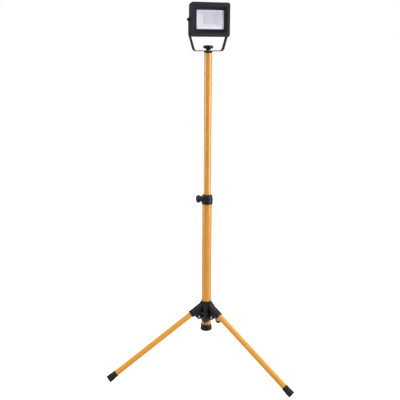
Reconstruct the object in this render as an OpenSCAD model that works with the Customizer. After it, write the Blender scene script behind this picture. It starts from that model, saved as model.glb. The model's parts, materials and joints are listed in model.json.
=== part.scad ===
// Work light: an LED floodlight on a telescopic folding tripod.
// Millimetres, Z up, ground at Z = 0, lamp facing -Y.

/* [Tripod] */
// angle of each spread leg below the horizontal, degrees
leg_slope = 32.5; // [31:0.5:34]
// height at which the three leg centre lines meet
leg_apex = 192.5; // [188:0.5:197]
// leg tube outside diameter
leg_d = 16.5; // [15:0.5:17]
// leg tube wall
leg_wall = 1; // [0.8:0.1:1.5]
// rubber foot diameter at the ground end
foot_d = 20.4; // [19.5:0.1:22]
// rubber foot length
foot_len = 27; // [20:1:32]

/* [Mast] */
// lower tube outside diameter
lower_d = 28; // [27.6:0.1:28]
// lower tube wall
lower_wall = 1.3; // [1:0.1:1.4]
// height of the top end of the lower tube
lower_top = 491; // [480:1:600]
// upper tube outside diameter
upper_d = 21; // [20:0.1:21]
// upper tube wall
upper_wall = 1.2; // [1:0.1:1.5]
// height of the top end of the upper tube
upper_top = 893.9; // [820:0.1:1000]
// direction of the clamp knob around the mast, degrees from +X
clamp_turn = 175; // [150:1:200]
// clamp knob diameter
clamp_knob_d = 22.8; // [20:0.1:26]

/* [Lamp head] */
// width of the front frame
frame_w = 108.5; // [107:0.1:109]
// height of the front frame
frame_h = 87.5; // [86:0.1:89]
// width of the housing between the bracket arms
body_w = 102.4; // [101.6:0.1:102.6]
// height of the housing
body_h = 86; // [84:0.5:86]
// visible width of the glass
glass_w = 76.4; // [70:0.1:77]
// visible height of the glass
glass_h = 48.6; // [46:0.1:50]
// cooling fin height behind the back wall
fin_h = 7; // [3:0.5:10]
// number of cooling fins each side of the cable entry
fin_count = 4; // [2:1:4]
// cable bore of the gland
cable_d = 7; // [5:0.5:7]

/* [Bracket] */
// width of the bracket strap
strap_w = 14; // [12:0.5:16]
// thickness of the bracket strap
strap_t = 2.2; // [1.5:0.1:2.4]
// drop from the tilt axis to the underside of the bracket
bracket_drop = 80.8; // [78:0.1:90]
// spacing of the two spare fixing holes in the bracket base
spare_pitch = 50; // [46:1:52]
// head knob diameter over its lobes
head_knob_d = 27; // [26:0.1:30]

/* [Hidden] */

// fine circles stay true curves
$fn = 64;
// how far a cutter runs beyond a face
cut = 1;
// how far joined shapes run into each other
join = 0.4;
// reach of a cutter that takes a whole side away
far = 600;
// radial play of parts pressed together
press_gap = 0.05;
// radial play of a turning pin
pin_gap = 0.06;
// play between parts that slide
slide_gap = 0.3;
// gap between flat faces that turn on each other
face_gap = 0.05;
// gap between stacked faces that stay still
stack_gap = 0.02;

// legs, each at its own angle round the mast
left_turn = 180;
right_turn = 300;
rear_turn = 60;
leg_turns = [left_turn, right_turn, rear_turn];
foot_flat = 1;
foot_floor = 4;
foot_band = 3;
foot_band_step = 0.4;
foot_top_d = foot_d - 2.4;
leg_end = (leg_apex + foot_flat - foot_d / 2 * cos(leg_slope)) / sin(leg_slope);
mast_x = leg_end * cos(leg_slope) / 4;
leg_start = 29;
socket_end = 56.3;
socket_r = leg_d / 2 + 2.45;
cheek_w = leg_d + 3.9;
cheek_end = 50;
holder_r = 16.4;

// leg hinges
hinge_r = 26;
hinge_z = 156;
hinge_pin_d = 5;
ear_r = 7.2;
ear_toe = 4;
ear_toe_rise = 1.2;
lug_r = 6.2;
lug_t = 8;
lug_gap = 0.6;
slot_t = lug_t + 2 * slide_gap;
slot_drop = 20;
rivet_head_r = 3.5;
rivet_head_h = 2;
rivet_edge_h = 0.9;
rivet_crown_r = 2;

// hub
hub_bottom = 142;
hub_top = 200;
hub_r = 15.5;
hub_flat_r = 15.8;
hub_corner_r = 3;
hub_rim_h = 7;
hub_ridge_r = 16.2;
hub_top_slope = 57;
hub_screw_z = 166;
hub_screw_off = 15;
hub_screw_d = 2.2;
hub_screw_len = 5;
screw_head_r = 1.9;
screw_head_h = 1.2;
screw_slot_w = 0.6;
screw_slot_depth = 0.5;
small_gap = 0.1;

// lower mast
lower_bottom = 112.5;
cap_top = 128;
cap_bottom = 110;
cap_r = 17;
cap_top_r = 15.2;
cap_chamfer = 1.5;
collar_bottom = lower_top - 7;
collar_top = lower_top + 19.6;
collar_r = 15.8;
collar_rim_r = 12.2;
collar_cone_z = lower_top + 12;
spigot_len = 25;

// clamp
clamp_z = lower_top + 8;
clamp_boss_root_r = 12;
clamp_boss_r = 8.2;
clamp_boss_end = 20;
clamp_nut_start = 14.9;
clamp_nut_af = 10;
clamp_nut_t = 5;
clamp_screw_d = 6;
clamp_tip_d = 4;
clamp_pad_d = 9;
clamp_pad_t = 2.7;
clamp_pad_floor = 1.5;
clamp_pad_hole_d = clamp_pad_d + 0.8;
clamp_knob_start = 20.5;
clamp_knob_t = 10.6;
clamp_knob_neck_r = 8.6;
clamp_knob_neck_h = 1.4;
clamp_knob_taper_h = 4;
clamp_knob_taper = 3;
clamp_knob_hole = 7;
knob_lobes = 6;
lobe_cut_r = 5.5;
lobe_cut_depth = 2.6;

// upper mast
bush_len = 29.7;
upper_bottom = lower_top - spigot_len - slide_gap - bush_len;
plug_flange_t = 4.2;
plug_flange_d = upper_d + 0.8;
plug_chamfer = 0.6;
plug_depth = 28;
insert_d = 12;
insert_len = 14;
stud_d = 8;

// lamp head, depths are along Y from the tilt axis
pivot_z = upper_top + plug_flange_t + face_gap + bracket_drop;
front_y = -17;
rim_back_y = -11;
bezel_back_y = -9;
lip_y = -14;
lip_t = 0.5;
glass_front_y = -13;
glass_t = 3;
floor_y = 3;
back_y = 6;
skirt_y = 9.5;
skirt_t = 3;
fin_end_y = back_y + fin_h;
frame_r = 6;
body_r = 8;
slope_w = 7.2;
slope_h = 9;
pocket_edge = 7.8;
pocket_w = glass_w + 2 * pocket_edge;
pocket_h = glass_h + 2 * pocket_edge;
pocket_r = 3;
pocket_gap = 0.3;
cavity_w = 79;
cavity_h = 53;
gasket_in = 2;
corner_screw_in = 6;
screw_x = body_w / 2 - corner_screw_in;
screw_z = body_h / 2 - corner_screw_in;
corner_boss_r = 5.2;
corner_screw_d = 3;
corner_head_d = 5.6;
corner_head_t = 2;
corner_screw_bite = 4.5;
socket_af = 2.5;
fin_t = 2.2;
fin_in = 9;
fin_first = 14;
fin_spread = body_w / 2 - 22;
middle_fin_x = 6;

// light source
sheet_t = 0.8;
sheet_edge = 1.8;
border = 3.7;
led_w = 29.5;
led_h = 22.8;
led_rise = 3;
reflector_foot_y = 0.9;
board_w = 60;
board_h = 28;
board_front_y = 1.4;
chip_w = 3.2;
chip_h = 4.2;
chip_t = 0.6;
chip_pitch_x = 4.2;
chip_pitch_z = 5.6;
chip_block_x = 7.9;

// cable gland
gland_z = -20.3;
gland_boss_r = 9.5;
gland_d = 12;
gland_af = 15;
gland_root = 9;
gland_flange_t = 5;
gland_neck_len = 5;
gland_neck_d = gland_d - 0.6;
gland_seal_t = 1.25;
gland_seal_len = 6;
gland_nut_len = 6;
gland_tip_len = 3;

// bracket
arm_gap = 0.7;
arm_in = body_w / 2 + arm_gap;
arm_out = arm_in + strap_t;
lean = 16.5;
lean_drop = 37.7;
bend_r = 10;
spare_hole_d = 5.5;
stud_hole_d = stud_d + 0.8;
bolt_d = 4;
bolt_hole_d = bolt_d + 0.16;
bolt_bite = 9;
bolt_head_d = 7;
bolt_head_h = 4.2;
bolt_socket_af = 3;
bolt_socket_depth = 2;
outer_washer_r = 4.2;
outer_washer_t = 0.8;
inner_washer_r = 6;
inner_washer_t = 0.6;
base_top = upper_top + plug_flange_t + face_gap + strap_t;

// head knob
washer_r = 7.4;
washer_t = 1.2;
neck_z = base_top + washer_t + 2 * face_gap;
knob_neck_r = 5.1;
knob_neck_top_r = 7.6;
knob_flange_z = upper_top + plug_flange_t + 7.2;
knob_flange_t = 8.5;
knob_chamfer = 1;
knob_lobe_depth = 3.2;
stud_top = knob_flange_z + 5;
stud_end_gap = 0.2;

black = [0.12, 0.12, 0.12];
rubber = [0.09, 0.09, 0.09];
orange = [0.87, 0.52, 0.14];
steel = [0.72, 0.72, 0.74];
grey_case = [0.2, 0.2, 0.24];
brass = [0.75, 0.6, 0.3];
silver = [0.9, 0.9, 0.92];
board_white = [0.93, 0.93, 0.9];
led_yellow = [0.95, 0.9, 0.6];
clear = [0.85, 0.88, 0.92, 0.5];

// frames that several pieces share
module on_mast() {
  translate([mast_x, 0, 0]) children();
}

module leg_plane(turn) {
  on_mast() rotate([0, 0, turn]) children();
}

// the Z axis runs down the leg from the meeting point
module along_leg(turn) {
  leg_plane(turn) translate([0, 0, leg_apex]) rotate([0, 90 + leg_slope, 0]) children();
}

module at_hinge(turn) {
  leg_plane(turn) translate([hinge_r, 0, hinge_z]) rotate([90, 0, 0]) children();
}

// the Z axis runs out of the mast along the clamp screw
module along_clamp() {
  on_mast() translate([0, 0, clamp_z]) rotate([0, 90, clamp_turn]) children();
}

// the tilt axis is X, the origin is the middle of the tilt axis
module at_head() {
  translate([mast_x, 0, pivot_z]) children();
}

// the Z axis points backwards out of the lamp from a point on its back
module to_back(x, y, z) {
  at_head() translate([x, y, z]) rotate([-90, 0, 0]) children();
}

module at_corner_screws(y) {
  for (x = [-1, 1], z = [-1, 1])
    to_back(x * screw_x, y, z * screw_z) children();
}

// the Z axis runs outwards along the tilt axis, once on each side
module at_tilt_sides() {
  at_head() for (side = [0, 180])
    rotate([0, 0, side]) rotate([0, 90, 0]) children();
}

module tube(outer_r, inner_r, h) {
  difference() {
    cylinder(r = outer_r, h = h);
    translate([0, 0, -cut]) cylinder(r = inner_r, h = h + 2 * cut);
  }
}

module hexagon(across, h) {
  cylinder(r = across / 2 / cos(30), h = h, $fn = 6);
}

// scallops round a knob, each as deep as asked
module lobe_cuts(rim, depth, h) {
  for (i = [0:knob_lobes - 1])
    rotate([0, 0, 360 / knob_lobes * i]) translate([rim + lobe_cut_r - depth, 0, 0])
      cylinder(r = lobe_cut_r, h = h);
}

// a plate standing on the XZ plane from depth y0 to y1, with rounded corners
module plate(w, h, r, y0, y1) {
  translate([0, y1, 0]) rotate([90, 0, 0]) linear_extrude(y1 - y0) {
    square([w - 2 * r, h], center = true);
    square([w, h - 2 * r], center = true);
    for (x = [-1, 1], z = [-1, 1])
      translate([x * (w / 2 - r), z * (h / 2 - r)]) circle(r = r);
  }
}

module slab(w, h, y0, y1) {
  translate([-w / 2, y0, -h / 2]) cube([w, y1 - y0, h]);
}

// a four-sided funnel, its mouth at depth y0 w0 x h0, its end at y1 w1 x h1 and raised by rise
module funnel(w0, h0, y0, w1, h1, y1, rise) {
  intersection() {
    translate([0, 0, -h0]) linear_extrude(2 * h0)
      polygon([[-w0 / 2, y0], [w0 / 2, y0], [w1 / 2, y1], [-w1 / 2, y1]]);
    translate([-w0, 0, 0]) rotate([90, 0, 90]) linear_extrude(2 * w0)
      polygon([[y0, -h0 / 2], [y0, h0 / 2], [y1, rise + h1 / 2], [y1, rise - h1 / 2]]);
  }
}

// hub
module hub_lug(turn) {
  difference() {
    union() {
      at_hinge(turn) translate([0, 0, -lug_t / 2]) cylinder(r = lug_r, h = lug_t);
      leg_plane(turn) translate([hub_r - join, -lug_t / 2, hinge_z - lug_r])
        cube([hinge_r - hub_r + join, lug_t, 2 * lug_r]);
    }
    at_hinge(turn) translate([0, 0, -lug_t])
      cylinder(d = hinge_pin_d + 2 * pin_gap, h = 2 * lug_t);
  }
}

module hub_screw_frame() {
  for (turn = leg_turns, side = [-1, 1])
    leg_plane(turn) translate([hub_flat_r, side * hub_screw_off, hub_screw_z])
      rotate([0, 90, 0]) children();
}

// a triangular prism with rounded edges, a flat facing each leg and a sloping top at each edge
module hub_triangle() {
  reach = hub_flat_r - hub_corner_r;
  side = 4 * reach * sin(60);
  h = hub_top - hub_rim_h - hub_bottom;
  difference() {
    union() {
      cylinder(r = 2 * reach, h = h, $fn = 3);
      for (turn = leg_turns) {
        rotate([0, 0, turn + 60]) translate([2 * reach, 0, 0]) cylinder(r = hub_corner_r, h = h);
        rotate([0, 0, turn]) translate([reach - cut, -side / 2, 0])
          cube([hub_corner_r + cut, side, h]);
      }
    }
    for (turn = leg_turns)
      rotate([0, 0, turn + 60]) translate([hub_ridge_r, -side, h]) rotate([0, hub_top_slope, 0])
        cube([2 * side, 2 * side, side]);
  }
}

module hub_core() {
  color(black) difference() {
    union() {
      on_mast() translate([0, 0, hub_bottom]) cylinder(r = hub_r, h = hub_top - hub_bottom);
      on_mast() translate([0, 0, hub_bottom]) hub_triangle();
      for (turn = leg_turns)
        hub_lug(turn);
    }
    on_mast() cylinder(d = lower_d + 2 * press_gap, h = hub_top + cut);
    hub_screw_frame() translate([0, 0, -hub_screw_len - small_gap])
      cylinder(d = hub_screw_d + 2 * press_gap, h = hub_screw_len + cut);
  }
}

module hub_screws() {
  color(steel) hub_screw_frame() difference() {
    union() {
      translate([0, 0, -hub_screw_len]) cylinder(d = hub_screw_d, h = hub_screw_len + small_gap + join);
      translate([0, 0, small_gap]) cylinder(r1 = screw_head_r, r2 = screw_head_r - join, h = screw_head_h);
    }
    translate([-screw_head_r, -screw_slot_w / 2, small_gap + screw_head_h - screw_slot_depth])
      cube([2 * screw_head_r, screw_slot_w, screw_head_h]);
  }
}

// mast
module lower_tube() {
  color(orange) on_mast() translate([0, 0, lower_bottom])
    tube(lower_d / 2, lower_d / 2 - lower_wall, lower_top - lower_bottom);
}

module mast_end_cap() {
  color(black) on_mast() difference() {
    union() {
      translate([0, 0, cap_bottom + cap_chamfer])
        cylinder(r1 = cap_r, r2 = cap_top_r, h = cap_top - cap_bottom - cap_chamfer);
      translate([0, 0, cap_bottom]) cylinder(r1 = cap_r - cap_chamfer, r2 = cap_r, h = cap_chamfer);
    }
    translate([0, 0, lower_bottom]) cylinder(d = lower_d + 2 * press_gap, h = cap_top);
  }
}

module clamp_collar() {
  spigot_r = lower_d / 2 - lower_wall - press_gap;
  bore_r = upper_d / 2 + slide_gap;
  color(black) difference() {
    union() {
      on_mast() translate([0, 0, collar_bottom]) cylinder(r = collar_r, h = collar_cone_z - collar_bottom);
      on_mast() translate([0, 0, collar_cone_z])
        cylinder(r1 = collar_r, r2 = collar_rim_r, h = collar_top - collar_cone_z);
      along_clamp() cylinder(r1 = clamp_boss_root_r, r2 = clamp_boss_r, h = clamp_boss_end);
    }
    on_mast() translate([0, 0, collar_bottom - cut])
      tube(lower_d / 2 + press_gap, spigot_r, lower_top - collar_bottom + cut);
    on_mast() translate([0, 0, collar_bottom - cut]) cylinder(r = bore_r, h = collar_top);
    along_clamp() cylinder(d = clamp_pad_hole_d, h = clamp_nut_start + cut);
    along_clamp() translate([0, 0, clamp_nut_start])
      hexagon(clamp_nut_af + 2 * press_gap, clamp_boss_end);
  }
  color(black) on_mast() translate([0, 0, lower_top - spigot_len])
    tube(spigot_r, bore_r, spigot_len + join);
}

module clamp_nut() {
  color(steel) along_clamp() translate([0, 0, clamp_nut_start + face_gap]) difference() {
    hexagon(clamp_nut_af, clamp_nut_t);
    translate([0, 0, -cut]) cylinder(d = clamp_screw_d + 2 * pin_gap, h = clamp_nut_t + 2 * cut);
  }
}

module clamp_pad() {
  color(black) along_clamp() translate([0, 0, upper_d / 2 + face_gap]) difference() {
    cylinder(d = clamp_pad_d, h = clamp_pad_t);
    translate([0, 0, clamp_pad_floor]) cylinder(d = clamp_tip_d + 2 * pin_gap, h = clamp_pad_t);
  }
}

module clamp_screw() {
  pad_start = upper_d / 2 + face_gap;
  shoulder = pad_start + clamp_pad_t + face_gap;
  color(steel) along_clamp() {
    translate([0, 0, shoulder])
      cylinder(d = clamp_screw_d, h = clamp_knob_start + clamp_knob_hole - shoulder);
    translate([0, 0, pad_start + clamp_pad_floor + face_gap]) cylinder(d = clamp_tip_d, h = clamp_pad_t);
  }
}

module clamp_knob() {
  rim = clamp_knob_d / 2;
  taper_z = clamp_knob_t - clamp_knob_taper_h;
  color(black) along_clamp() translate([0, 0, clamp_knob_start]) difference() {
    union() {
      cylinder(r1 = clamp_knob_neck_r, r2 = rim, h = clamp_knob_neck_h);
      translate([0, 0, clamp_knob_neck_h]) cylinder(r = rim, h = taper_z - clamp_knob_neck_h);
      translate([0, 0, taper_z]) cylinder(r1 = rim, r2 = rim - clamp_knob_taper, h = clamp_knob_taper_h);
    }
    translate([0, 0, -cut]) lobe_cuts(rim, lobe_cut_depth, clamp_knob_t + 2 * cut);
    translate([0, 0, -cut])
      cylinder(d = clamp_screw_d + 2 * press_gap, h = clamp_knob_hole + cut + slide_gap);
  }
}

// legs
module leg_holder(turn) {
  slope_x = sin(leg_slope);
  slope_z = cos(leg_slope);
  near = [cheek_end * slope_z, leg_apex - cheek_end * slope_x];
  low = [near[0] - (socket_r - cut) * slope_x, near[1] - (socket_r - cut) * slope_z];
  color(black) difference() {
    union() {
      along_leg(turn) cylinder(r = socket_r, h = socket_end);
      leg_plane(turn) rotate([90, 0, 0]) linear_extrude(cheek_w, center = true) {
        polygon([
          [hinge_r - cut, hinge_z - ear_r],
          [hinge_r + ear_toe, hinge_z - ear_r + ear_toe_rise],
          low, near,
          [holder_r, leg_apex - holder_r * tan(leg_slope)],
          [holder_r, hinge_z + ear_toe],
          [hinge_r - ear_r, hinge_z]
        ]);
        translate([hinge_r, hinge_z]) circle(r = ear_r);
      }
    }
    leg_plane(turn) translate([-socket_r, -socket_r - cut, hub_bottom])
      cube([holder_r + socket_r, 2 * (socket_r + cut), leg_apex - hub_bottom + 2 * socket_r]);
    along_leg(turn) translate([0, 0, leg_start - small_gap])
      cylinder(d = leg_d + 2 * press_gap, h = socket_end);
    at_hinge(turn) translate([0, 0, -slot_t / 2]) cylinder(r = lug_r + lug_gap, h = slot_t);
    leg_plane(turn) translate([0, -slot_t / 2, hinge_z - slot_drop])
      cube([hinge_r + lug_r + lug_gap, slot_t, slot_drop]);
    leg_plane(turn) translate([0, -slot_t / 2, hinge_z - slot_drop])
      cube([hinge_r, slot_t, slot_drop + lug_r + lug_gap]);
    at_hinge(turn) translate([0, 0, -cheek_w])
      cylinder(d = hinge_pin_d + 2 * press_gap, h = 2 * cheek_w);
  }
}

module leg_tube(turn) {
  color(orange) along_leg(turn) translate([0, 0, leg_start])
    tube(leg_d / 2, leg_d / 2 - leg_wall, leg_end - foot_floor - leg_start);
}

module leg_foot(turn) {
  color(rubber) difference() {
    along_leg(turn) translate([0, 0, leg_end - foot_len]) {
      cylinder(d = foot_top_d + cut, h = foot_band);
      translate([0, 0, foot_band])
        cylinder(d1 = foot_top_d, d2 = foot_d - foot_band_step, h = foot_len - 2 * foot_band);
      translate([0, 0, foot_len - foot_band]) cylinder(d = foot_d, h = foot_band);
    }
    along_leg(turn) translate([0, 0, leg_start])
      cylinder(d = leg_d + 2 * press_gap, h = leg_end - foot_floor - leg_start);
    translate([-far, -far, -far]) cube([2 * far, 2 * far, far]);
  }
}

module leg_pin(turn) {
  half = cheek_w / 2 + stack_gap;
  color(steel) at_hinge(turn) {
    translate([0, 0, -half - join / 2]) cylinder(d = hinge_pin_d, h = 2 * half + join);
    for (side = [0, 180])
      rotate([side, 0, 0]) translate([0, 0, half]) {
        cylinder(r = rivet_head_r, h = rivet_edge_h);
        translate([0, 0, rivet_edge_h])
          cylinder(r1 = rivet_head_r, r2 = rivet_crown_r, h = rivet_head_h - rivet_edge_h);
      }
  }
}

module leg_holder_left() {
  leg_holder(left_turn);
}

module leg_tube_left() {
  leg_tube(left_turn);
}

module leg_foot_left() {
  leg_foot(left_turn);
}

module leg_pin_left() {
  leg_pin(left_turn);
}

module leg_holder_right() {
  leg_holder(right_turn);
}

module leg_tube_right() {
  leg_tube(right_turn);
}

module leg_foot_right() {
  leg_foot(right_turn);
}

module leg_pin_right() {
  leg_pin(right_turn);
}

module leg_holder_rear() {
  leg_holder(rear_turn);
}

module leg_tube_rear() {
  leg_tube(rear_turn);
}

module leg_foot_rear() {
  leg_foot(rear_turn);
}

module leg_pin_rear() {
  leg_pin(rear_turn);
}

// upper mast
module upper_tube() {
  color(orange) on_mast() translate([0, 0, upper_bottom])
    tube(upper_d / 2, upper_d / 2 - upper_wall, upper_top - upper_bottom);
}

module guide_bush() {
  color(black) on_mast() translate([0, 0, upper_bottom])
    tube(lower_d / 2 - lower_wall - slide_gap, upper_d / 2 + press_gap, bush_len);
}

module mast_top_plug() {
  color(black) on_mast() difference() {
    union() {
      translate([0, 0, upper_top]) cylinder(d = plug_flange_d, h = plug_flange_t - plug_chamfer);
      translate([0, 0, upper_top + plug_flange_t - plug_chamfer])
        cylinder(d1 = plug_flange_d, d2 = plug_flange_d - 2 * plug_chamfer, h = plug_chamfer);
      translate([0, 0, upper_top - plug_depth])
        cylinder(r = upper_d / 2 - upper_wall - press_gap, h = plug_depth + cut);
    }
    translate([0, 0, upper_top - plug_depth - cut])
      cylinder(d = stud_d + cut, h = plug_depth + plug_flange_t + 2 * cut);
    translate([0, 0, upper_top - insert_len])
      hexagon(insert_d + 2 * press_gap, insert_len + plug_flange_t + cut);
  }
}

module stud_insert() {
  color(brass) on_mast() translate([0, 0, upper_top - insert_len + face_gap]) difference() {
    hexagon(insert_d, insert_len + plug_flange_t - slide_gap);
    translate([0, 0, -cut]) cylinder(d = stud_d + 2 * pin_gap, h = insert_len + plug_flange_t + 2 * cut);
  }
}

module knob_washer() {
  color(steel) on_mast() translate([0, 0, base_top + face_gap])
    tube(washer_r, stud_d / 2 + slide_gap, washer_t);
}

module head_knob() {
  rim = head_knob_d / 2;
  body_t = knob_flange_t - knob_chamfer;
  color(black) on_mast() difference() {
    union() {
      translate([0, 0, neck_z])
        cylinder(r1 = knob_neck_r, r2 = knob_neck_top_r, h = knob_flange_z - neck_z);
      translate([0, 0, knob_flange_z]) cylinder(r = rim, h = body_t);
      translate([0, 0, knob_flange_z + body_t])
        cylinder(r1 = rim, r2 = rim - knob_chamfer, h = knob_chamfer);
    }
    translate([0, 0, knob_flange_z - cut]) lobe_cuts(rim, knob_lobe_depth, knob_flange_t + 2 * cut);
    translate([0, 0, neck_z - cut])
      cylinder(d = stud_d + 2 * press_gap, h = stud_top - neck_z + cut);
  }
}

module head_stud() {
  color(steel) on_mast() translate([0, 0, upper_top - insert_len])
    cylinder(d = stud_d, h = stud_top - stud_end_gap - upper_top + insert_len);
}

// bracket, its outline as seen from the front
module bracket_outline(inset) {
  half = arm_out - inset;
  low = -bracket_drop + inset;
  turn_z = -lean_drop - inset * tan(lean / 2);
  foot_x = half - (turn_z - low) * tan(lean);
  r = bend_r - inset;
  centre_x = foot_x - r * tan(45 - lean / 2);
  tip_x = centre_x + r * cos(lean);
  tip_z = low + r - r * sin(lean);
  polygon([
    [-half, cut + inset], [-half, turn_z], [-tip_x, tip_z], [-centre_x, low + r], [-centre_x, low],
    [centre_x, low], [centre_x, low + r], [tip_x, tip_z], [half, turn_z], [half, cut + inset]
  ]);
  translate([centre_x, low + r]) circle(r = r);
  translate([-centre_x, low + r]) circle(r = r);
}

module bracket() {
  color(grey_case) at_head() difference() {
    union() {
      difference() {
        rotate([90, 0, 0]) linear_extrude(strap_w, center = true) difference() {
          bracket_outline(0);
          bracket_outline(strap_t);
        }
        translate([-far, -far, 0]) cube([2 * far, 2 * far, far]);
      }
      for (side = [-1, 1])
        translate([side * (arm_in + strap_t / 2), 0, 0]) rotate([0, 90, 0])
          cylinder(d = strap_w, h = strap_t, center = true);
    }
    rotate([0, 90, 0]) cylinder(d = bolt_hole_d, h = 3 * arm_out, center = true);
    translate([0, 0, -bracket_drop - cut]) cylinder(d = stud_hole_d, h = strap_t + 2 * cut);
    for (side = [-1, 1])
      translate([side * spare_pitch / 2, 0, -bracket_drop - cut])
        cylinder(d = spare_hole_d, h = strap_t + 2 * cut);
  }
}

module tilt_bolts() {
  head_start = arm_out + small_gap + outer_washer_t + face_gap;
  color(steel) at_tilt_sides() difference() {
    union() {
      translate([0, 0, arm_in - bolt_bite]) cylinder(d = bolt_d, h = head_start + join - arm_in + bolt_bite);
      translate([0, 0, head_start]) cylinder(d = bolt_head_d, h = bolt_head_h);
    }
    translate([0, 0, head_start + bolt_head_h - bolt_socket_depth]) hexagon(bolt_socket_af, bolt_head_h);
  }
}

module tilt_washers() {
  color(steel) at_tilt_sides() {
    translate([0, 0, arm_out + small_gap])
      tube(outer_washer_r, bolt_d / 2 + press_gap, outer_washer_t);
    translate([0, 0, arm_in - face_gap - inner_washer_t])
      tube(inner_washer_r, bolt_d / 2 + press_gap, inner_washer_t);
  }
}

// lamp head
module cooling_fin(x, low, high) {
  translate([x - fin_t / 2, back_y - cut, low]) cube([fin_t, fin_h + cut, high - low]);
}

module head_housing() {
  fin_pitch = fin_spread / fin_count;
  fin_reach = body_h / 2 - fin_in;
  color(grey_case) difference() {
    union() {
      at_head() {
        plate(body_w, body_h, body_r, bezel_back_y, back_y);
        difference() {
          plate(body_w, body_h, body_r, back_y - cut, skirt_y);
          plate(body_w - 2 * skirt_t, body_h - 2 * skirt_t, body_r - skirt_t, back_y, skirt_y + cut);
        }
        for (side = [-1, 1], i = [0:fin_count - 1])
          cooling_fin(side * (fin_first + i * fin_pitch), -fin_reach, fin_reach);
        for (x = [-middle_fin_x, 0, middle_fin_x])
          cooling_fin(x, -middle_fin_x, fin_reach);
      }
      at_corner_screws(back_y - cut) cylinder(r = corner_boss_r, h = skirt_y - back_y + cut);
      to_back(0, back_y - cut, gland_z) cylinder(r = gland_boss_r, h = fin_h + cut);
    }
    at_head() slab(cavity_w, cavity_h, bezel_back_y - cut, floor_y);
    at_tilt_sides() translate([0, 0, arm_in - bolt_bite - small_gap])
      cylinder(d = bolt_d + 2 * press_gap, h = bolt_bite + cut);
    to_back(0, 0, gland_z) cylinder(d = gland_d + 2 * press_gap, h = fin_end_y + cut);
    at_corner_screws(bezel_back_y - cut) cylinder(d = corner_screw_d + 4 * press_gap, h = far);
    at_corner_screws(skirt_y - cut) cylinder(d = corner_head_d + 2 * slide_gap, h = far);
  }
}

module front_bezel() {
  color(grey_case) difference() {
    at_head() {
      plate(frame_w, frame_h, frame_r, front_y, rim_back_y);
      plate(body_w, body_h, body_r, rim_back_y - join, bezel_back_y - stack_gap);
    }
    at_head() funnel(glass_w + 2 * slope_w, glass_h + 2 * slope_h, front_y, glass_w, glass_h, lip_y, 0);
    at_head() slab(glass_w + 2 * slope_w, glass_h + 2 * slope_h, front_y - cut, front_y);
    at_head() slab(glass_w, glass_h, lip_y - lip_t, bezel_back_y);
    at_head() plate(pocket_w, pocket_h, pocket_r, glass_front_y, bezel_back_y);
    at_corner_screws(bezel_back_y - corner_screw_bite - lip_t)
      cylinder(d = corner_screw_d + 2 * press_gap, h = far);
  }
}

module housing_screws() {
  head_y = skirt_y - cut + face_gap;
  color(steel) {
    at_corner_screws(bezel_back_y - corner_screw_bite)
      cylinder(d = corner_screw_d, h = head_y + join - bezel_back_y + corner_screw_bite);
    at_corner_screws(head_y) difference() {
      cylinder(d = corner_head_d, h = corner_head_t);
      translate([0, 0, cut]) hexagon(socket_af, corner_head_t);
    }
  }
}

module front_glass() {
  color(clear) at_head() plate(pocket_w - 2 * pocket_gap, pocket_h - 2 * pocket_gap, pocket_r - pocket_gap,
    glass_front_y + stack_gap, glass_front_y + glass_t);
}

module glass_gasket() {
  color(rubber) at_head() difference() {
    plate(pocket_w - 2 * pocket_gap, pocket_h - 2 * pocket_gap, pocket_r - pocket_gap,
      glass_front_y + glass_t + stack_gap, bezel_back_y - stack_gap);
    slab(cavity_w + 2 * gasket_in, cavity_h + 2 * gasket_in, front_y, floor_y);
  }
}

module reflector() {
  mouth_w = glass_w - 2 * border;
  mouth_h = glass_h - 2 * border;
  flange_y = bezel_back_y - stack_gap - sheet_t;
  color(silver) at_head() difference() {
    union() {
      plate(cavity_w + 2 * sheet_edge, cavity_h + 2 * sheet_edge, cut, flange_y, flange_y + sheet_t);
      funnel(mouth_w + 2 * sheet_t, mouth_h + 2 * sheet_t, flange_y,
        led_w + 2 * sheet_t, led_h + 2 * sheet_t, reflector_foot_y, led_rise);
    }
    funnel(mouth_w, mouth_h, flange_y, led_w, led_h, reflector_foot_y, led_rise);
    slab(mouth_w, mouth_h, flange_y - cut, flange_y);
    translate([0, 0, led_rise])
      slab(led_w, led_h, reflector_foot_y - small_gap, reflector_foot_y + cut);
  }
}

module led_board() {
  color(board_white) at_head() translate([0, 0, led_rise])
    slab(board_w, board_h, board_front_y, floor_y - stack_gap);
}

module led_chips() {
  chip_back_y = board_front_y - stack_gap;
  color(led_yellow) at_head()
    for (block = [-1, 1], column = [-1, 0, 1], row = [-1.5, -0.5, 0.5, 1.5])
      translate([block * chip_block_x + column * chip_pitch_x, 0, led_rise + row * chip_pitch_z])
        slab(chip_w, chip_h, chip_back_y - chip_t, chip_back_y);
}

module gland_body() {
  color(black) difference() {
    union() {
      to_back(0, fin_end_y - gland_root, gland_z) cylinder(d = gland_d, h = gland_root + gland_flange_t);
      to_back(0, fin_end_y + face_gap, gland_z) hexagon(gland_af, gland_flange_t);
      to_back(0, fin_end_y + gland_flange_t - join, gland_z)
        cylinder(d = gland_neck_d, h = gland_neck_len + join);
    }
    to_back(0, fin_end_y - gland_root - cut, gland_z) cylinder(d = cable_d, h = far);
    to_back(0, fin_end_y + gland_flange_t + lip_t, gland_z)
      cylinder(d = cable_d + 2 * gland_seal_t + small_gap, h = far);
  }
}

module gland_seal() {
  color(rubber) to_back(0, fin_end_y + gland_flange_t + lip_t + small_gap, gland_z)
    tube(cable_d / 2 + gland_seal_t, cable_d / 2, gland_seal_len);
}

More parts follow.
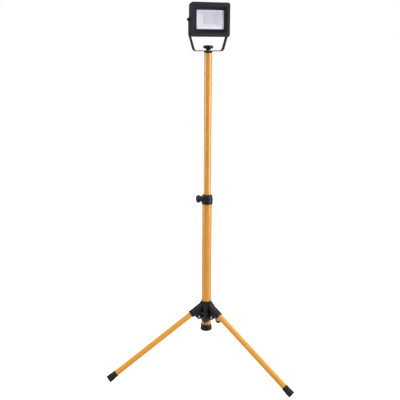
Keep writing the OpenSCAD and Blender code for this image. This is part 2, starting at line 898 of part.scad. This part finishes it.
module gland_nut() {
  nut_y = fin_end_y + gland_flange_t + face_gap + small_gap;
  color(black) difference() {
    union() {
      to_back(0, nut_y, gland_z) hexagon(gland_af, gland_nut_len);
      to_back(0, nut_y + gland_nut_len, gland_z)
        cylinder(d1 = gland_af - cut, d2 = gland_af - gland_flange_t, h = gland_tip_len);
    }
    to_back(0, nut_y - cut, gland_z) cylinder(d = gland_d + small_gap, h = gland_nut_len + 2 * cut);
    to_back(0, nut_y, gland_z) cylinder(d = cable_d, h = far);
  }
}

// draw
hub_core();
hub_screws();
lower_tube();
mast_end_cap();
clamp_collar();
clamp_nut();
clamp_pad();
clamp_screw();
clamp_knob();
leg_holder_left();
leg_tube_left();
leg_foot_left();
leg_pin_left();
leg_holder_right();
leg_tube_right();
leg_foot_right();
leg_pin_right();
leg_holder_rear();
leg_tube_rear();
leg_foot_rear();
leg_pin_rear();
upper_tube();
guide_bush();
mast_top_plug();
stud_insert();
knob_washer();
head_knob();
head_stud();
bracket();
tilt_bolts();
tilt_washers();
head_housing();
front_bezel();
housing_screws();
front_glass();
glass_gasket();
reflector();
led_board();
led_chips();
gland_body();
gland_seal();
gland_nut();
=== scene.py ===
"""Looks for a work light on a tripod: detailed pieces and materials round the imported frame."""

import json
import math

import bmesh
import bpy
from mathutils import Matrix, Vector


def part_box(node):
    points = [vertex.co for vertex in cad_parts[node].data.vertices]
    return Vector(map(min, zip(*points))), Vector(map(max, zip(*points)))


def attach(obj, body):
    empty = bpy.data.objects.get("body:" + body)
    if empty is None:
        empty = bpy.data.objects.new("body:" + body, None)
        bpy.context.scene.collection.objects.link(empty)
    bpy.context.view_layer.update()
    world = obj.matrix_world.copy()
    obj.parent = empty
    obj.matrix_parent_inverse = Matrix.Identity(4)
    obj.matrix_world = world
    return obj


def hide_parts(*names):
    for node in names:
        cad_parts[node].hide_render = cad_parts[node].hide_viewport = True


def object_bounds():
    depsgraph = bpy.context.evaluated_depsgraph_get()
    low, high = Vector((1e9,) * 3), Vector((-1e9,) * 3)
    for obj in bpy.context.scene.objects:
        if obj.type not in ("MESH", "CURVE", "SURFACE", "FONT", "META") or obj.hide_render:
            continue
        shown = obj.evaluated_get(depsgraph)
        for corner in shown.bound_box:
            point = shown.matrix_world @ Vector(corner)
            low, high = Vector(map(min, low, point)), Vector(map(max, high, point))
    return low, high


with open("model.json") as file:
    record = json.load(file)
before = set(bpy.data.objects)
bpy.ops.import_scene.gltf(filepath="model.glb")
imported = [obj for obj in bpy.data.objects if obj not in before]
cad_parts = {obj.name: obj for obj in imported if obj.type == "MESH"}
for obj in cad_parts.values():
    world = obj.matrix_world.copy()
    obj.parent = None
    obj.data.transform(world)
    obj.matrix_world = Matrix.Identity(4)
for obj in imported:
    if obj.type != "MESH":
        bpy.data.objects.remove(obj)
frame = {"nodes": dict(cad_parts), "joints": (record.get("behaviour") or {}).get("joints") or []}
cad_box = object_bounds()
nodes = frame["nodes"]
joints = {j["name"]: j for j in frame["joints"]}
MM = 0.001
UP = Vector((0, 0, 1))
SIDES = ("left", "right", "rear")


# ---------------------------------------------------------------- places taken from the frame
def middle(name):
    lo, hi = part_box(name)
    return (lo + hi) / 2


def points(name):
    """The mesh points of a CAD node."""
    return [Vector(p.co) for p in nodes[name].data.vertices]


def span(name, origin, direction):
    """Where a CAD node starts and ends along a direction, measured from origin."""
    along = [(p - origin).dot(direction) for p in points(name)]
    return min(along), max(along)


MAST_X = middle("upper_tube").x
PIVOT = Vector(joints["head_tilt"]["pos_m"])
CLAMP_DIR = Vector(joints["clamp_knob_turn"]["axis"]).normalized()
CLAMP_POS = Vector(joints["clamp_knob_turn"]["pos_m"])
TUBE_END = 0.012  # how much of a leg tube's reach counts as its end


def leg_line(side):
    """Start and unit direction of a leg tube's centre line, from its mesh and its hinge."""
    hinge = Vector(joints["leg_fold_" + side]["pos_m"])
    out = Vector((hinge.x - MAST_X, hinge.y, 0)).normalized()
    tube = points("leg_tube_" + side)
    reach = [(p - Vector((MAST_X, 0, 0))).dot(out) for p in tube]
    near, far = min(reach), max(reach)
    upper = [p for p, r in zip(tube, reach) if r < near + TUBE_END]
    lower = [p for p, r in zip(tube, reach) if r > far - TUBE_END]
    top = sum(upper, Vector()) / len(upper)
    low = sum(lower, Vector()) / len(lower)
    return top, (low - top).normalized()


# ---------------------------------------------------------------- mesh helpers
def add_mesh(name, bm, sharp_angle=40):
    """Links a mesh to the scene, smooth except at edges sharper than sharp_angle degrees."""
    bmesh.ops.recalc_face_normals(bm, faces=bm.faces)
    mesh = bpy.data.meshes.new(name)
    bm.to_mesh(mesh)
    bm.free()
    obj = bpy.data.objects.new(name, mesh)
    bpy.context.scene.collection.objects.link(obj)
    for p in mesh.polygons:
        p.use_smooth = True
    edges = bmesh.new()
    edges.from_mesh(mesh)
    for e in edges.edges:
        if len(e.link_faces) == 2 and e.calc_face_angle(0) > math.radians(sharp_angle):
            e.smooth = False
    edges.to_mesh(mesh)
    edges.free()
    return obj


def axis_matrix(origin, z_dir, x_dir=None):
    """A frame at origin whose Z runs along z_dir."""
    z = Vector(z_dir).normalized()
    x = Vector(x_dir) if x_dir is not None else (Vector((1, 0, 0)) if abs(z.x) < 0.9 else Vector((0, 1, 0)))
    x = (x - z * x.dot(z)).normalized()
    y = z.cross(x)
    m = Matrix((x, y, z)).transposed().to_4x4()
    m.translation = Vector(origin)
    return m


def lathe(name, profile, matrix, seg, ripple=None):
    """A solid of revolution. profile is [(radius, height)] in mm, and a radius of 0 closes it on its axis.
    ripple(angle, radius) gives a factor on the radius."""
    bm = bmesh.new()
    rings = []
    for r, h in profile:
        if r <= 0:
            rings.append([bm.verts.new((0, 0, h * MM))])
            continue
        ring = []
        for i in range(seg):
            a = 2 * math.pi * i / seg
            k = ripple(a, r) if ripple else 1.0
            ring.append(bm.verts.new((r * k * MM * math.cos(a), r * k * MM * math.sin(a), h * MM)))
        rings.append(ring)
    for a, b in zip(rings, rings[1:]):
        for i in range(seg):
            j = (i + 1) % seg
            if len(a) == 1:
                bm.faces.new((a[0], b[i], b[j]))
            elif len(b) == 1:
                bm.faces.new((a[i], a[j], b[0]))
            else:
                bm.faces.new((a[i], a[j], b[j], b[i]))
    bm.transform(matrix)
    return add_mesh(name, bm, 35)


def rounded(outline, r, steps):
    """Rounds the inner corners of a (radius, height) profile by r mm."""
    out = [outline[0]]
    for p, q, s in zip(outline, outline[1:], outline[2:]):
        a, b, c = Vector(p), Vector(q), Vector(s)
        u, v = (a - b), (c - b)
        cut = min(r, u.length * 0.45, v.length * 0.45)
        if cut < 1e-6 or abs(u.normalized().dot(v.normalized())) > 0.999:
            out.append(q)
            continue
        start, end = b + u.normalized() * cut, b + v.normalized() * cut
        for i in range(steps + 1):
            t = i / steps
            w = start.lerp(b, t).lerp(b.lerp(end, t), t)
            out.append((w.x, w.y))
    out.append(outline[-1])
    return out


WELD_GAP = 0.00002
FLAT_ANGLE = math.radians(0.6)
EDGE_ANGLE = math.radians(30)


def soften(name, width):
    """Merges a CAD node's faces and rounds its sharp edges by width mm."""
    o = nodes[name]
    weld = o.modifiers.new("weld", "WELD")
    weld.merge_threshold = WELD_GAP
    flats = o.modifiers.new("flats", "DECIMATE")
    flats.decimate_type = "DISSOLVE"
    flats.angle_limit = FLAT_ANGLE
    edges = o.modifiers.new("edges", "BEVEL")
    edges.width = width * MM
    edges.segments = 2
    edges.limit_method = "ANGLE"
    edges.angle_limit = EDGE_ANGLE
    edges.use_clamp_overlap = True
    for p in o.data.polygons:
        p.use_smooth = True
    normals = o.modifiers.new("normals", "WEIGHTED_NORMAL")
    normals.keep_sharp = True


# ---------------------------------------------------------------- materials
NOISE_LOW, NOISE_HIGH = 0.3, 0.7  # the part of the noise's range that the colours and roughness spread over
BUMP_DEPTH = 0.0004


def new_material(name):
    m = bpy.data.materials.new(name)
    m.use_nodes = True
    t = m.node_tree
    return m, t, t.nodes["Principled BSDF"]


def node(t, kind, **values):
    """A new node, with its own settings and the values of its sockets."""
    n = t.nodes.new(kind)
    for k, v in values.items():
        if hasattr(n, k):
            setattr(n, k, v)
        else:
            n.inputs[k].default_value = v
    return n


def surface(name, low, high, rough=(0.4, 0.5), scale=60, bump=0.0, bump_scale=900, metallic=0.0, **sockets):
    """A procedural finish: the colour wanders between low and high and the roughness between two values,
    with a fine bump."""
    m, t, bsdf = new_material(name)
    coord = node(t, "ShaderNodeTexCoord")
    noise = node(t, "ShaderNodeTexNoise", Scale=scale, Detail=4.0, Roughness=0.55)
    t.links.new(coord.outputs["Object"], noise.inputs["Vector"])
    ramp = node(t, "ShaderNodeValToRGB")
    for stop, place, colour in zip(ramp.color_ramp.elements, (NOISE_LOW, NOISE_HIGH), (low, high)):
        stop.position = place
        stop.color = (*colour, 1)
    t.links.new(noise.outputs["Fac"], ramp.inputs["Fac"])
    t.links.new(ramp.outputs["Color"], bsdf.inputs["Base Color"])
    spread = node(t, "ShaderNodeMapRange", **{"From Min": NOISE_LOW, "From Max": NOISE_HIGH,
                                              "To Min": rough[0], "To Max": rough[1]})
    t.links.new(noise.outputs["Fac"], spread.inputs["Value"])
    t.links.new(spread.outputs["Result"], bsdf.inputs["Roughness"])
    bsdf.inputs["Metallic"].default_value = metallic
    if bump:
        fine = node(t, "ShaderNodeTexNoise", Scale=bump_scale, Detail=3.0)
        t.links.new(coord.outputs["Object"], fine.inputs["Vector"])
        grain = node(t, "ShaderNodeBump", Strength=bump, Distance=BUMP_DEPTH)
        t.links.new(fine.outputs["Fac"], grain.inputs["Height"])
        t.links.new(grain.outputs["Normal"], bsdf.inputs["Normal"])
    for k, v in sockets.items():
        bsdf.inputs[k.replace("_", " ")].default_value = v
    return m


def srgb(r, g, b):
    return tuple(((c / 255 + 0.055) / 1.055) ** 2.4 if c > 10 else c / 255 / 12.92 for c in (r, g, b))


def object_axes(t):
    """The three coordinates of the shaded point, in the object's space."""
    coord = node(t, "ShaderNodeTexCoord")
    split = node(t, "ShaderNodeSeparateXYZ")
    t.links.new(coord.outputs["Object"], split.inputs["Vector"])
    return split.outputs


def tint_where(t, mask, tint):
    """Turns the base colour to tint where the mask is 1."""
    bsdf = t.nodes["Principled BSDF"]
    plain = bsdf.inputs["Base Color"].links[0].from_socket
    mix = node(t, "ShaderNodeMix", data_type="RGBA")
    t.links.new(mask, mix.inputs["Factor"])
    t.links.new(plain, mix.inputs["A"])
    mix.inputs["B"].default_value = (*tint, 1)
    t.links.new(mix.outputs["Result"], bsdf.inputs["Base Color"])


def mirror_sheet():
    """Bright sheet, with a painted highlight: a paler colour on the thin rim round the glass, where the light
    falls.
    """
    m = surface("reflector_sheet", srgb(212, 209, 224), srgb(216, 213, 228), (0.42, 0.5), 40,
                Specular_IOR_Level=0.3)
    t = m.node_tree
    rim_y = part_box("reflector")[0].y
    painted_rim_highlight = node(t, "ShaderNodeMapRange", **{"From Min": rim_y + 0.0013, "From Max": rim_y + 0.0009})
    t.links.new(object_axes(t)["Y"], painted_rim_highlight.inputs["Value"])
    # painted highlight: the rim's base colour is turned paler here, not lit brighter
    tint_where(t, painted_rim_highlight.outputs["Result"], srgb(238, 236, 248))
    return m


RECESS_HALF_WIDTH, RECESS_HALF_HEIGHT = 0.0456, 0.0344
RECESS_DROP = 0.0008  # the recess's middle sits this much below the tilt axis
RECESS_EDGE = 0.0008  # the width over which its colour fades out


def bezel_paint():
    """The case paint, darker on the faces that slope in to the glass."""
    m = surface("bezel_paint", srgb(27, 27, 37), srgb(32, 32, 43), (0.42, 0.52), 140, 0.35, 2600,
                Specular_IOR_Level=0.12)
    t = m.node_tree
    axes = object_axes(t)
    masks = []
    for axis, centre, half in (("X", PIVOT.x, RECESS_HALF_WIDTH),
                               ("Z", PIVOT.z - RECESS_DROP, RECESS_HALF_HEIGHT)):
        offset = node(t, "ShaderNodeMath", operation="SUBTRACT")
        offset.inputs[1].default_value = centre
        t.links.new(axes[axis], offset.inputs[0])
        size = node(t, "ShaderNodeMath", operation="ABSOLUTE")
        t.links.new(offset.outputs[0], size.inputs[0])
        inside = node(t, "ShaderNodeMapRange", **{"From Min": half, "From Max": half - RECESS_EDGE})
        t.links.new(size.outputs[0], inside.inputs["Value"])
        masks.append(inside)
    both = node(t, "ShaderNodeMath", operation="MULTIPLY")
    t.links.new(masks[0].outputs["Result"], both.inputs[0])
    t.links.new(masks[1].outputs["Result"], both.inputs[1])
    tint_where(t, both.outputs[0], srgb(12, 10, 17))
    return m


PAINT = surface("orange_paint", srgb(201, 134, 24), srgb(207, 140, 30), (0.34, 0.4), 25, 0.02, 500,
                Coat_Weight=0.9, Coat_Roughness=0.2, Specular_IOR_Level=0.4)
PLASTIC = surface("black_plastic", srgb(8, 8, 9), srgb(14, 14, 15), (0.40, 0.52), 90, 0.25, 1600,
                  Specular_IOR_Level=0.3)
KNOB = surface("knob_plastic", srgb(13, 13, 14), srgb(20, 20, 21), (0.36, 0.48), 120, 0.2, 1800,
               Specular_IOR_Level=0.3)
RUBBER = surface("black_rubber", srgb(14, 14, 15), srgb(21, 21, 22), (0.55, 0.7), 200, 0.4, 2200,
                 Specular_IOR_Level=0.25)
CASE = surface("case_paint", srgb(30, 30, 39), srgb(36, 36, 46), (0.42, 0.52), 140, 0.35, 2600,
               Specular_IOR_Level=0.25)
STRAP = surface("bracket_paint", srgb(20, 20, 25), srgb(25, 25, 31), (0.42, 0.52), 140, 0.35, 2600,
                Specular_IOR_Level=0.18)
STEEL = surface("zinc_steel", srgb(178, 178, 182), srgb(205, 205, 208), (0.22, 0.34), 300, 0.05, 900, 1.0)
PIN_STEEL = surface("pin_steel", srgb(190, 190, 194), srgb(215, 215, 218), (0.34, 0.46), 300, 0.05, 900, 1.0)
DARK_STEEL = surface("dark_screw", srgb(40, 40, 43), srgb(56, 56, 60), (0.32, 0.44), 300, 0.05, 900, 1.0)
BRASS = surface("brass", srgb(190, 150, 80), srgb(205, 168, 95), (0.3, 0.4), 300, 0.0, 900, 1.0)
MIRROR = mirror_sheet()
BOARD = surface("board_white", srgb(206, 204, 212), srgb(212, 210, 218), (0.4, 0.5), 400)
CHIP_CASE = surface("chip_case", srgb(196, 195, 166), srgb(204, 203, 174), (0.4, 0.5), 500)
PHOSPHOR = surface("led_yellow", srgb(200, 198, 132), srgb(210, 208, 144), (0.25, 0.35), 800)
GASKET = surface("gasket_rubber", srgb(24, 24, 25), srgb(32, 32, 33), (0.7, 0.8), 300)
GLASS = surface("clear_glass", srgb(226, 223, 237), srgb(229, 226, 240), (0.08, 0.1), 20, Alpha=0.26, IOR=1.5)
SCREW_STEEL = surface("screw_steel", srgb(104, 104, 108), srgb(126, 126, 130), (0.3, 0.42), 300,
                      0.05, 900, 1.0)
BEZEL = bezel_paint()


def paint(material, *pieces):
    """Gives a material to CAD nodes by name, or to objects."""
    for piece in pieces:
        o = nodes[piece] if isinstance(piece, str) else piece
        o.data.materials.clear()
        o.data.materials.append(material)


paint(PAINT, "lower_tube", "upper_tube", *["leg_tube_" + s for s in SIDES])
paint(PLASTIC, "hub_core", "clamp_collar", "clamp_pad", "guide_bush", "mast_top_plug", "gland_body",
      "gland_nut", *["leg_holder_" + s for s in SIDES])
paint(CASE, "head_housing")
paint(STRAP, "bracket")
paint(BEZEL, "front_bezel")
paint(STEEL, "clamp_nut", "clamp_screw", "head_stud")
paint(SCREW_STEEL, "hub_screws", "housing_screws", "knob_washer")
paint(DARK_STEEL, "tilt_bolts", "tilt_washers")
paint(BRASS, "stud_insert")
paint(MIRROR, "reflector")
paint(BOARD, "led_board")
paint(GASKET, "glass_gasket", "gland_seal")
paint(GLASS, "front_glass")

EDGE_WIDTHS = {"front_bezel": 0.9, "head_housing": 0.5, "bracket": 0.35, "hub_core": 0.5,
               "clamp_collar": 0.4, "gland_body": 0.3, "gland_nut": 0.3, "mast_top_plug": 0.3,
               "tilt_bolts": 0.3, "front_glass": 0.3,
               **{"leg_holder_" + s: 0.8 for s in SIDES}}
for softened, edge in EDGE_WIDTHS.items():
    soften(softened, edge)


# ---------------------------------------------------------------- rubber feet
FOOT_HOLE_R, FOOT_LIP_R, FOOT_TOE_R = 8.35, 9.5, 10.2
FOOT_SOLE = 6


def foot(side):
    """A ribbed rubber foot, cut flat where it stands on the ground."""
    top, along = leg_line(side)
    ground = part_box("leg_foot_" + side)[0].z
    start, end = span("leg_foot_" + side, top, along)
    length = (end - start) / MM
    socket = [(FOOT_HOLE_R, length - FOOT_SOLE), (FOOT_HOLE_R, 0), (FOOT_LIP_R, 0), (FOOT_LIP_R, 3)]
    ribs = [(9.05, 3.4), (9.15, 5.2), (8.95, 5.5), (8.95, 6.2),
            (9.2, 6.5), (9.3, 8.6), (9.1, 8.9), (9.1, 9.6),
            (9.4, 9.9), (9.55, 12.0), (9.35, 12.3), (9.35, 13.0)]
    toe = [(9.65, 13.3), (9.9, length - 3.4), (FOOT_TOE_R, length - 2.8), (FOOT_TOE_R, length - 0.5),
           (9.4, length), (0, length)]
    o = lathe("foot_" + side, rounded(socket + ribs + toe, 0.35, 2),
              axis_matrix(top + along * start, along, UP), 72)
    for p in o.data.vertices:
        p.co.z = max(p.co.z, ground)
    paint(RUBBER, o)
    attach(o, "leg_" + side)
    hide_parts("leg_foot_" + side)


for s in SIDES:
    foot(s)


# ---------------------------------------------------------------- leg pivot pins
PIN_SHANK_R, PIN_HEAD_R = 2.5, 3.5
PIN_HEAD_H, PIN_DOME_H = 2.0, 1.3
DOME_STEPS = 6


def pin(side):
    """A pivot pin with a domed head at each end."""
    hinge = Vector(joints["leg_fold_" + side]["pos_m"])
    across = Vector(joints["leg_fold_" + side]["axis"]).normalized()
    half = span("leg_pin_" + side, hinge, across)[1] / MM
    head = half - PIN_HEAD_H
    angles = [math.pi / 2 * i / DOME_STEPS for i in range(DOME_STEPS)]
    dome = [(PIN_HEAD_R * math.cos(a), head + 0.7 + PIN_DOME_H * math.sin(a)) for a in angles] + [(0, half)]
    upper = [(PIN_SHANK_R, head), (PIN_HEAD_R - 0.15, head), (PIN_HEAD_R, head + 0.25)] + dome
    lower = [(r, -h) for r, h in reversed(upper)]
    o = lathe("pin_" + side, lower + upper, axis_matrix(hinge, across), 40)
    paint(PIN_STEEL, o)
    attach(o, "leg_" + side)
    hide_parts("leg_pin_" + side)


for s in SIDES:
    pin(s)


# ---------------------------------------------------------------- mast end cap
CAP_BORE_R = 14.1
CAP_FLOOR = 4

lo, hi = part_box("mast_end_cap")
height = (hi.z - lo.z) / MM
bottom_r = (hi.x - lo.x) / 2 / MM
cap_foot = [(0, 0.6), (8, 0.6), (8.6, 0), (bottom_r - 1.8, 0), (bottom_r - 0.1, 1.5), (bottom_r - 0.1, 4.2),
            (bottom_r - 0.8, 4.8), (bottom_r - 0.8, 6.2), (bottom_r - 0.7, 6.8)]
cap_cup = [(15.5, height - 2.4), (15.1, height - 0.3), (14.7, height), (CAP_BORE_R, height),
           (CAP_BORE_R, CAP_FLOOR), (0, CAP_FLOOR)]
cap = lathe("end_cap", rounded(cap_foot + cap_cup, 0.5, 3), axis_matrix((MAST_X, 0, lo.z), UP), 96)
paint(PLASTIC, cap)
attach(cap, "stand")
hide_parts("mast_end_cap")


# ---------------------------------------------------------------- knobs
LOBE_COUNT = 6
LOBE_DEPTH = 0.2
LOBE_POWER = 0.8  # below 1 the lobes are wider than the hollows between them
LOBE_BLEND = 2.5


def lobes(start_r, turn):
    """Finger scallops round a knob, outside start_r only."""
    def ripple(a, r):
        if r < start_r:
            return 1.0
        c = 0.5 + 0.5 * math.cos(LOBE_COUNT * (a - turn))
        return 1.0 - LOBE_DEPTH * (1 - c ** LOBE_POWER) * min(1.0, (r - start_r) / LOBE_BLEND)
    return ripple


HEAD_RIM_R = 13.45
HEAD_LOBES_H = 8.5

lo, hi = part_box("head_knob")
tall = (hi.z - lo.z) / MM
flange = tall - HEAD_LOBES_H
knob_neck = [(4.05, flange + 4), (4.05, 0), (4.8, 0), (5.1, 0.4), (7.5, flange - 0.2)]
knob_grip = [(HEAD_RIM_R - 1.4, flange), (HEAD_RIM_R, flange + 1.4), (HEAD_RIM_R, tall - 2.6),
             (HEAD_RIM_R - 1.2, tall - 0.8), (HEAD_RIM_R - 3.0, tall - 0.3)]
knob_crown = [(8.2, tall - 0.3), (7.8, tall - 0.9), (7.3, tall - 0.9), (6.8, tall), (0, tall)]
knob = lathe("head_knob_body", rounded(knob_neck + knob_grip + knob_crown, 0.5, 3),
             axis_matrix((MAST_X, 0, lo.z), UP), 144, lobes(8.4, math.radians(30)))
paint(KNOB, knob)
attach(knob, "head_knob_turner")
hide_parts("head_knob")

CLAMP_RIM_R = 11.35

near, far = span("clamp_knob", CLAMP_POS, CLAMP_DIR)
thick = (far - near) / MM
knob_neck = [(3.05, 7), (3.05, 0), (8.0, 0), (8.5, 0.4)]
knob_grip = [(CLAMP_RIM_R - 0.6, 1.3), (CLAMP_RIM_R, 2.1), (CLAMP_RIM_R, thick - 4.0),
             (CLAMP_RIM_R - 1.5, thick - 1.5), (CLAMP_RIM_R - 3.2, thick - 0.3)]
knob_crown = [(6.2, thick - 0.3), (5.8, thick - 0.9), (5.3, thick - 0.9), (4.9, thick), (0, thick)]
knob = lathe("clamp_knob_body", rounded(knob_neck + knob_grip + knob_crown, 0.45, 3),
             axis_matrix(CLAMP_POS + CLAMP_DIR * near, CLAMP_DIR, UP), 144, lobes(7.0, 0.0))
paint(KNOB, knob)
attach(knob, "clamp_knob_turner")
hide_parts("clamp_knob")


# ---------------------------------------------------------------- LED chips
BLOCK_OFFSET = 7.9  # each block's middle stands this far from the lamp's middle
CHIP_PITCH_X, CHIP_PITCH_Z = 4.2, 5.6
CASE_SIZE = (3.2 * MM, 0.4 * MM, 4.2 * MM)
DOME_SIZE = (2.6 * MM, 0.18 * MM, 3.5 * MM)


def add_box(bm, centre, size):
    for p in bmesh.ops.create_cube(bm, size=1.0)["verts"]:
        p.co = Vector((p.co.x * size[0], p.co.y * size[1], p.co.z * size[2])) + Vector(centre)


lo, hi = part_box("led_chips")
xs = [PIVOT.x + (block * BLOCK_OFFSET + i * CHIP_PITCH_X) * MM for block in (-1, 1) for i in (-1, 0, 1)]
zs = [middle("led_chips").z + j * CHIP_PITCH_Z * MM for j in (-1.5, -0.5, 0.5, 1.5)]
cases, domes = bmesh.new(), bmesh.new()
for x in xs:
    for z in zs:
        add_box(cases, (x, (lo.y + hi.y) / 2 + 0.1 * MM, z), CASE_SIZE)
        add_box(domes, (x, lo.y + 0.1 * MM, z), DOME_SIZE)
case = add_mesh("chip_cases", cases)
dome = add_mesh("chip_phosphor", domes)
for o, edge in ((case, 0.08), (dome, 0.07)):
    bevel = o.modifiers.new("edges", "BEVEL")
    bevel.width, bevel.segments = edge * MM, 2
paint(CHIP_CASE, case)
paint(PHOSPHOR, dome)
for o in (case, dome):
    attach(o, "head")
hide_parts("led_chips")


# ---------------------------------------------------------------- floor and studio
FLOOR_SIZE = 120
FLOOR_GAP = 0.0005
WORLD_LIGHT = 0.42

bpy.ops.mesh.primitive_plane_add(size=FLOOR_SIZE, location=(MAST_X, 0, cad_box[0].z - FLOOR_GAP))
floor = bpy.context.object
floor.name = "floor"
floor_mat, t, bsdf = new_material("floor_white")
bsdf.inputs["Base Color"].default_value = (0.5, 0.5, 0.5, 1)
bsdf.inputs["Roughness"].default_value = 0.9
bsdf.inputs["Specular IOR Level"].default_value = 0.1
bsdf.inputs["Emission Color"].default_value = (1, 1, 1, 1)
floor_path = node(t, "ShaderNodeLightPath")
t.links.new(floor_path.outputs["Is Camera Ray"], bsdf.inputs["Emission Strength"])
floor.data.materials.append(floor_mat)

# the camera sees a plain white world, and the pieces are lit by a dimmer one
world = bpy.data.worlds.new("studio")
bpy.context.scene.world = world
world.use_nodes = True
wt = world.node_tree
seen = wt.nodes.new("ShaderNodeBackground")
seen.inputs["Color"].default_value = (1, 1, 1, 1)
seen.inputs["Strength"].default_value = 1.0
lit = wt.nodes["Background"]
lit.inputs["Color"].default_value = (1, 1, 1, 1)
lit.inputs["Strength"].default_value = WORLD_LIGHT
path = wt.nodes.new("ShaderNodeLightPath")
pick = wt.nodes.new("ShaderNodeMixShader")
wt.links.new(path.outputs["Is Camera Ray"], pick.inputs[0])
wt.links.new(lit.outputs[0], pick.inputs[1])
wt.links.new(seen.outputs[0], pick.inputs[2])
wt.links.new(pick.outputs[0], wt.nodes["World Output"].inputs["Surface"])
bpy.context.scene.view_settings.view_transform = "Standard"


# ---------------------------------------------------------------- camera and lights
# the camera stands to the lamp's right-hand front, a little below the lamp's middle, and looks down the mast
YAW = math.radians(21.3)
PITCH = math.radians(12.14)
ROLL = math.radians(0.30)
DISTANCE = 1.740
SIDE = -0.020
EYE = 0.925
LENS = 58.23
SENSOR = 36
SHIFT = -0.05
right = Vector((math.cos(YAW), -math.sin(YAW), 0))
away = Vector((math.sin(YAW), math.cos(YAW), 0))
mast = Vector((MAST_X, 0, 0))
cam_data = bpy.data.cameras.new("camera")
cam = bpy.data.objects.new("camera", cam_data)
bpy.context.scene.collection.objects.link(cam)
bpy.context.scene.camera = cam
cam_data.sensor_width = SENSOR
cam_data.lens = LENS
cam_data.shift_y = SHIFT
cam_data.clip_end = 30
cam.location = mast + right * SIDE - away * DISTANCE + UP * EYE
look = away * math.cos(PITCH) - UP * math.sin(PITCH)
cam.rotation_mode = "QUATERNION"
cam.rotation_quaternion = look.to_track_quat("-Z", "Y") @ Matrix.Rotation(ROLL, 4, "Z").to_quaternion()


def softbox(name, place, aim, size, power):
    data = bpy.data.lights.new(name, "AREA")
    data.shape = "RECTANGLE"
    data.size, data.size_y = size
    data.energy = power
    obj = bpy.data.objects.new(name, data)
    bpy.context.scene.collection.objects.link(obj)
    obj.location = place
    obj.rotation_euler = (Vector(aim) - Vector(place)).to_track_quat("-Z", "Y").to_euler()


half_way = mast + UP * 0.55
softbox("key", mast + right * 2.0 - away * 0.85 + UP * 0.8, half_way, (0.3, 2.0), 52)
softbox("fill", mast - right * 2.1 - away * 0.3 + UP * 0.8, half_way, (0.4, 1.8), 30)
softbox("top", mast + UP * 3.0 - away * 0.5, half_way, (0.7, 0.7), 50)
softbox("back", mast + away * 2.2 + right * 0.6 + UP * 1.5, mast + UP * 0.8, (1.4, 1.4), 30)
